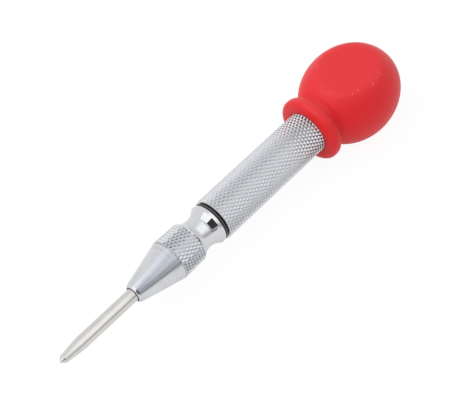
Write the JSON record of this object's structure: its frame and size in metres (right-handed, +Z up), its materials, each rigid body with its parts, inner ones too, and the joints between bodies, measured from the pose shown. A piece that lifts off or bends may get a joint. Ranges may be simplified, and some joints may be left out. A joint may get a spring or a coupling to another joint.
{
  "type": "automatic center punch",
  "caption": "Automatic center punch: sprung tapered steel tip in a knurled nose cone, polished waist, seal ring, knurled screw grip that sets the blow, and a soft red ball cap with flats.",
  "frame": {"origin": "middle of the tool's length, on the plane of the ball's lower flat", "axes": "+X along the tool from the point to the ball, +Z up through the ball's two flats, +Y across"},
  "size_m": [0.13, 0.0272, 0.0214],
  "materials": {
    "plated_tip_steel": "bright nickel plate, faint turning marks",
    "hardened_steel": "ground and oiled",
    "spring_wire": "drawn spring wire",
    "satin_chrome": "satin turned cone, knurled ring",
    "polished_chrome": "mirror polish",
    "black_rubber": "satin",
    "seat_brass": "turned",
    "knurled_chrome": "fine diamond knurl, chrome plate",
    "red_vinyl": "soft matt vinyl"
  },
  "bodies": {
    "housing": {"nose_cone": "satin_chrome", "body": "polished_chrome", "o_ring": "black_rubber", "return_spring": "spring_wire"},
    "tip": {"punch_tip": "plated_tip_steel"},
    "sear": {"sear_pin": "hardened_steel"},
    "striker": {"hammer": "hardened_steel"},
    "spring_end": {"spring_seat": "seat_brass", "main_spring": "spring_wire"},
    "grip": {"adjuster_sleeve": "knurled_chrome", "ball_cap": "red_vinyl"}
  },
  "joints": [
    {"name": "tip_plunge", "type": "slide", "parent": "housing", "child": "tip", "axis": [1, 0, 0], "range_m": [0, 0.009], "stiffness_N_per_m": 600, "deforming": ["return_spring"]},
    {"name": "sear_lean", "type": "hinge", "parent": "tip", "child": "sear", "pos_m": [-0.0288, 0, 0.0107], "axis": [0, 0, 1], "range_deg": [0, 1.45]},
    {"name": "hammer_slide", "type": "slide", "parent": "housing", "child": "striker", "axis": [1, 0, 0], "range_m": [0, 0.009], "stiffness_N_per_m": 1500, "deforming": ["main_spring"]},
    {"name": "grip_advance", "type": "slide", "parent": "housing", "child": "spring_end", "axis": [1, 0, 0], "range_m": [0, 0.004]},
    {"name": "grip_turn", "type": "hinge", "parent": "spring_end", "child": "grip", "pos_m": [0, 0, 0.0107], "axis": [1, 0, 0], "range_deg": [0, 1440]}
  ],
  "couplings": [
    {"joint": "sear_lean", "follows": "tip_plunge", "rad_per_m": 2.792},
    {"joint": "hammer_slide", "follows": "tip_plunge", "ratio": 1},
    {"joint": "grip_turn", "follows": "grip_advance", "rad_per_m": 6283.2}
  ]
}
